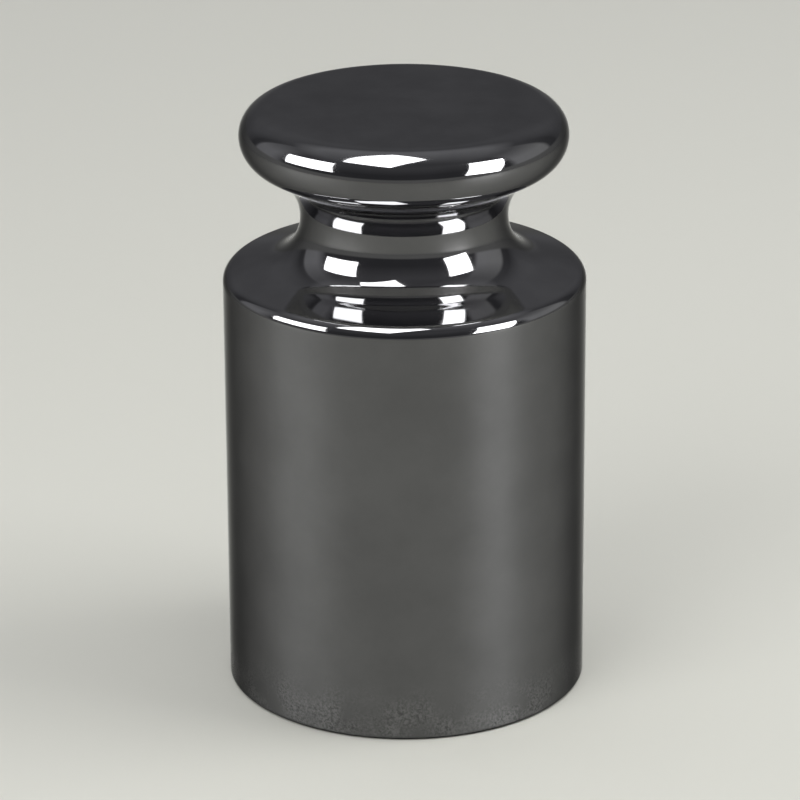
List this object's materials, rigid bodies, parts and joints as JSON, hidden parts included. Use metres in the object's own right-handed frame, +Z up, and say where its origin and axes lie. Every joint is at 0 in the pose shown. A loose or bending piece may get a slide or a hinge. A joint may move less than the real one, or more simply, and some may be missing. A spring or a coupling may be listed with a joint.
{
  "type": "calibration weight",
  "caption": "Cylindrical test weight in polished stainless steel, with a sloping shoulder, a waisted neck and a flat-topped lifting knob.",
  "frame": {"origin": "centre of the flat base that the weight stands on", "axes": "+Z up along the turning axis, from the base to the top of the knob; the part is round, so X and Y are free"},
  "size_m": [0.048, 0.048, 0.0799],
  "materials": {
    "polished_steel": "mirror-polished stainless steel"
  },
  "bodies": {
    "root": {"calibration_weight": "polished_steel"}
  },
  "joints": []
}
